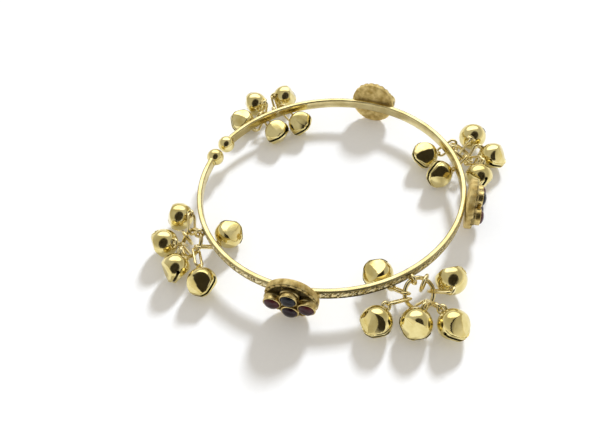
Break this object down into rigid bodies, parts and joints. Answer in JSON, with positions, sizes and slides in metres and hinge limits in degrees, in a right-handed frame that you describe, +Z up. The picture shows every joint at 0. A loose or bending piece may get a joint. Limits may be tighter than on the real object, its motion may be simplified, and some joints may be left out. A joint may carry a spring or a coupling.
{
  "type": "ghungroo bangle",
  "caption": "Open cuff bangle in gilt brass with stone-set rosettes and clusters of small slit bells on wire rings, which jingle as the wrist moves.",
  "frame": {"origin": "centre of the object's box on the plane that the rosette rims stand on", "axes": "+Z up along the hoop axis, +X towards the rosette that faces the opening"},
  "size_m": [0.0764, 0.0726, 0.0113],
  "materials": {
    "satin_gold": "satin gold plate",
    "polished_gold": "polished gold plate",
    "antique_gold": "antiqued gold with dark recesses",
    "steel_shot": "plain steel",
    "red_glass": "domed glass, foil backed",
    "teal_glass": "domed glass, foil backed",
    "plum_glass": "domed glass, foil backed"
  },
  "bodies": {
    "hoop": {"band": "satin_gold", "plate_1": "antique_gold", "stone_1_left": "red_glass", "stone_1_upper": "teal_glass", "stone_1_right": "red_glass", "stone_1_lower": "plum_glass", "plate_2": "antique_gold", "stone_2_left": "red_glass", "stone_2_upper": "teal_glass", "stone_2_right": "red_glass", "stone_2_lower": "plum_glass", "plate_3": "antique_gold", "stone_3_left": "red_glass", "stone_3_upper": "teal_glass", "stone_3_right": "red_glass", "stone_3_lower": "plum_glass"},
    "ring_a": {"ring_a": "satin_gold"},
    "bell_a1": {"bell_a1": "polished_gold"},
    "pellet_a1": {"pellet_a1": "steel_shot"},
    "bell_a2": {"bell_a2": "polished_gold"},
    "pellet_a2": {"pellet_a2": "steel_shot"},
    "bell_a3": {"bell_a3": "polished_gold"},
    "pellet_a3": {"pellet_a3": "steel_shot"},
    "bell_a4": {"bell_a4": "polished_gold"},
    "pellet_a4": {"pellet_a4": "steel_shot"},
    "bell_a5": {"bell_a5": "polished_gold"},
    "pellet_a5": {"pellet_a5": "steel_shot"},
    "ring_b": {"ring_b": "satin_gold"},
    "bell_b1": {"bell_b1": "polished_gold"},
    "pellet_b1": {"pellet_b1": "steel_shot"},
    "bell_b2": {"bell_b2": "polished_gold"},
    "pellet_b2": {"pellet_b2": "steel_shot"},
    "bell_b3": {"bell_b3": "polished_gold"},
    "pellet_b3": {"pellet_b3": "steel_shot"},
    "bell_b4": {"bell_b4": "polished_gold"},
    "pellet_b4": {"pellet_b4": "steel_shot"},
    "bell_b5": {"bell_b5": "polished_gold"},
    "pellet_b5": {"pellet_b5": "steel_shot"},
    "ring_c": {"ring_c": "satin_gold"},
    "bell_c1": {"bell_c1": "polished_gold"},
    "pellet_c1": {"pellet_c1": "steel_shot"},
    "bell_c2": {"bell_c2": "polished_gold"},
    "pellet_c2": {"pellet_c2": "steel_shot"},
    "bell_c3": {"bell_c3": "polished_gold"},
    "pellet_c3": {"pellet_c3": "steel_shot"},
    "bell_c4": {"bell_c4": "polished_gold"},
    "pellet_c4": {"pellet_c4": "steel_shot"},
    "bell_c5": {"bell_c5": "polished_gold"},
    "pellet_c5": {"pellet_c5": "steel_shot"},
    "ring_d": {"ring_d": "satin_gold"},
    "bell_d1": {"bell_d1": "polished_gold"},
    "pellet_d1": {"pellet_d1": "steel_shot"},
    "bell_d2": {"bell_d2": "polished_gold"},
    "pellet_d2": {"pellet_d2": "steel_shot"},
    "bell_d3": {"bell_d3": "polished_gold"},
    "pellet_d3": {"pellet_d3": "steel_shot"},
    "bell_d4": {"bell_d4": "polished_gold"},
    "pellet_d4": {"pellet_d4": "steel_shot"},
    "bell_d5": {"bell_d5": "polished_gold"},
    "pellet_d5": {"pellet_d5": "steel_shot"}
  },
  "joints": [
    {"name": "ring_a_swing", "type": "hinge", "parent": "hoop", "child": "ring_a", "pos_m": [-0.02275, 0.02411, 0.00535], "axis": [0.7547, 0.6561, 0], "range_deg": [-20, 30]},
    {"name": "bell_a1_swing", "type": "hinge", "parent": "ring_a", "child": "bell_a1", "pos_m": [-0.02682, 0.02393, 0.00322], "axis": [-0.9603, 0.2789, 0], "range_deg": [-25, 25]},
    {"name": "pellet_a1_rattle", "type": "slide", "parent": "bell_a1", "child": "pellet_a1", "axis": [0, 0, 1], "range_m": [0, 0.0021]},
    {"name": "bell_a2_swing", "type": "hinge", "parent": "ring_a", "child": "bell_a2", "pos_m": [-0.0272, 0.02579, 0.00184], "axis": [0.9686, -0.2487, 0], "range_deg": [-25, 25]},
    {"name": "pellet_a2_rattle", "type": "slide", "parent": "bell_a2", "child": "pellet_a2", "axis": [0, 0, 1], "range_m": [0, 0.0021]},
    {"name": "bell_a3_swing", "type": "hinge", "parent": "ring_a", "child": "bell_a3", "pos_m": [-0.02388, 0.02875, 0.00179], "axis": [0.7877, 0.6161, 0], "range_deg": [-25, 25]},
    {"name": "pellet_a3_rattle", "type": "slide", "parent": "bell_a3", "child": "pellet_a3", "axis": [0, 0, 1], "range_m": [0, 0.0021]},
    {"name": "bell_a4_swing", "type": "hinge", "parent": "ring_a", "child": "bell_a4", "pos_m": [-0.02569, 0.02323, 0.00429], "axis": [-0.6765, -0.7365, 0], "range_deg": [-15, 15]},
    {"name": "pellet_a4_rattle", "type": "slide", "parent": "bell_a4", "child": "pellet_a4", "axis": [0, 0, 1], "range_m": [0, 0.0021]},
    {"name": "bell_a5_swing", "type": "hinge", "parent": "ring_a", "child": "bell_a5", "pos_m": [-0.02148, 0.02708, 0.00416], "axis": [-0.5002, -0.8659, 0], "range_deg": [-15, 12]},
    {"name": "pellet_a5_rattle", "type": "slide", "parent": "bell_a5", "child": "pellet_a5", "axis": [0, 0, 1], "range_m": [0, 0.0021]},
    {"name": "ring_b_swing", "type": "hinge", "parent": "hoop", "child": "ring_b", "pos_m": [0.02539, 0.01735, 0.00535], "axis": [0.5446, -0.8387, 0], "range_deg": [-20, 30]},
    {"name": "bell_b1_swing", "type": "hinge", "parent": "ring_b", "child": "bell_b1", "pos_m": [0.02766, 0.02152, 0.00184], "axis": [0.0883, -0.9961, 0], "range_deg": [-25, 25]},
    {"name": "pellet_b1_rattle", "type": "slide", "parent": "bell_b1", "child": "pellet_b1", "axis": [0, 0, 1], "range_m": [0, 0.0021]},
    {"name": "bell_b2_swing", "type": "hinge", "parent": "ring_b", "child": "bell_b2", "pos_m": [0.02929, 0.01607, 0.00319], "axis": [-0.5054, -0.8629, 0], "range_deg": [-25, 25]},
    {"name": "pellet_b2_rattle", "type": "slide", "parent": "bell_b2", "child": "pellet_b2", "axis": [0, 0, 1], "range_m": [0, 0.0021]},
    {"name": "bell_b3_swing", "type": "hinge", "parent": "ring_b", "child": "bell_b3", "pos_m": [0.03013, 0.01773, 0.00184], "axis": [0.9009, -0.4341, 0], "range_deg": [-25, 25]},
    {"name": "pellet_b3_rattle", "type": "slide", "parent": "bell_b3", "child": "pellet_b3", "axis": [0, 0, 1], "range_m": [0, 0.0021]},
    {"name": "bell_b4_swing", "type": "hinge", "parent": "ring_b", "child": "bell_b4", "pos_m": [0.02801, 0.01569, 0.00426], "axis": [-0.7699, 0.6382, 0], "range_deg": [-15, 15]},
    {"name": "pellet_b4_rattle", "type": "slide", "parent": "bell_b4", "child": "pellet_b4", "axis": [0, 0, 1], "range_m": [0, 0.0021]},
    {"name": "bell_b5_swing", "type": "hinge", "parent": "ring_b", "child": "bell_b5", "pos_m": [0.02495, 0.02047, 0.00423], "axis": [-0.5246, 0.8513, 0], "range_deg": [-15, 15]},
    {"name": "pellet_b5_rattle", "type": "slide", "parent": "bell_b5", "child": "pellet_b5", "axis": [0, 0, 1], "range_m": [0, 0.0021]},
    {"name": "ring_c_swing", "type": "hinge", "parent": "hoop", "child": "ring_c", "pos_m": [0.02115, -0.02296, 0.00535], "axis": [-0.7071, -0.7071, 0], "range_deg": [-20, 30]},
    {"name": "bell_c1_swing", "type": "hinge", "parent": "ring_c", "child": "bell_c1", "pos_m": [0.02048, -0.0268, 0.00347], "axis": [-0.5768, 0.8169, 0], "range_deg": [-25, 25]},
    {"name": "pellet_c1_rattle", "type": "slide", "parent": "bell_c1", "child": "pellet_c1", "axis": [0, 0, 1], "range_m": [0, 0.0021]},
    {"name": "bell_c2_swing", "type": "hinge", "parent": "ring_c", "child": "bell_c2", "pos_m": [0.0229, -0.02744, 0.00165], "axis": [-0.4794, -0.8776, 0], "range_deg": [-25, 15]},
    {"name": "pellet_c2_rattle", "type": "slide", "parent": "bell_c2", "child": "pellet_c2", "axis": [0, 0, 1], "range_m": [0, 0.0021]},
    {"name": "bell_c3_swing", "type": "hinge", "parent": "ring_c", "child": "bell_c3", "pos_m": [0.02543, -0.02526, 0.00144], "axis": [-0.7772, -0.6292, 0], "range_deg": [-25, 25]},
    {"name": "pellet_c3_rattle", "type": "slide", "parent": "bell_c3", "child": "pellet_c3", "axis": [0, 0, 1], "range_m": [0, 0.0021]},
    {"name": "bell_c4_swing", "type": "hinge", "parent": "ring_c", "child": "bell_c4", "pos_m": [0.02557, -0.02308, 0.00266], "axis": [-0.2254, -0.9743, 0], "range_deg": [-25, 25]},
    {"name": "pellet_c4_rattle", "type": "slide", "parent": "bell_c4", "child": "pellet_c4", "axis": [0, 0, 1], "range_m": [0, 0.0021]},
    {"name": "bell_c5_swing", "type": "hinge", "parent": "ring_c", "child": "bell_c5", "pos_m": [0.02006, -0.02579, 0.00432], "axis": [0.6322, 0.7748, 0], "range_deg": [-15, 15]},
    {"name": "pellet_c5_rattle", "type": "slide", "parent": "bell_c5", "child": "pellet_c5", "axis": [0, 0, 1], "range_m": [0, 0.0021]},
    {"name": "ring_d_swing", "type": "hinge", "parent": "hoop", "child": "ring_d", "pos_m": [-0.02664, -0.02045, 0.00535], "axis": [-0.6293, 0.7771, 0], "range_deg": [-20, 30]},
    {"name": "bell_d1_swing", "type": "hinge", "parent": "ring_d", "child": "bell_d1", "pos_m": [-0.02961, -0.0191, 0.00413], "axis": [0.9441, 0.3296, 0], "range_deg": [-25, 25]},
    {"name": "pellet_d1_rattle", "type": "slide", "parent": "bell_d1", "child": "pellet_d1", "axis": [0, 0, 1], "range_m": [0, 0.0021]},
    {"name": "bell_d2_swing", "type": "hinge", "parent": "ring_d", "child": "bell_d2", "pos_m": [-0.03125, -0.02189, 0.00159], "axis": [-0.9989, -0.0462, 0], "range_deg": [-20, 25]},
    {"name": "pellet_d2_rattle", "type": "slide", "parent": "bell_d2", "child": "pellet_d2", "axis": [0, 0, 1], "range_m": [0, 0.0021]},
    {"name": "bell_d3_swing", "type": "hinge", "parent": "ring_d", "child": "bell_d3", "pos_m": [-0.029, -0.02467, 0.00159], "axis": [-0.9817, 0.1902, 0], "range_deg": [-25, 15]},
    {"name": "pellet_d3_rattle", "type": "slide", "parent": "bell_d3", "child": "pellet_d3", "axis": [0, 0, 1], "range_m": [0, 0.0021]},
    {"name": "bell_d4_swing", "type": "hinge", "parent": "ring_d", "child": "bell_d4", "pos_m": [-0.02641, -0.02437, 0.00344], "axis": [-0.863, -0.5053, 0], "range_deg": [-25, 25]},
    {"name": "pellet_d4_rattle", "type": "slide", "parent": "bell_d4", "child": "pellet_d4", "axis": [0, 0, 1], "range_m": [0, 0.0021]},
    {"name": "bell_d5_swing", "type": "hinge", "parent": "ring_d", "child": "bell_d5", "pos_m": [-0.02584, -0.02333, 0.00435], "axis": [0.6867, -0.7269, 0], "range_deg": [-15, 15]},
    {"name": "pellet_d5_rattle", "type": "slide", "parent": "bell_d5", "child": "pellet_d5", "axis": [0, 0, 1], "range_m": [0, 0.0021]}
  ]
}
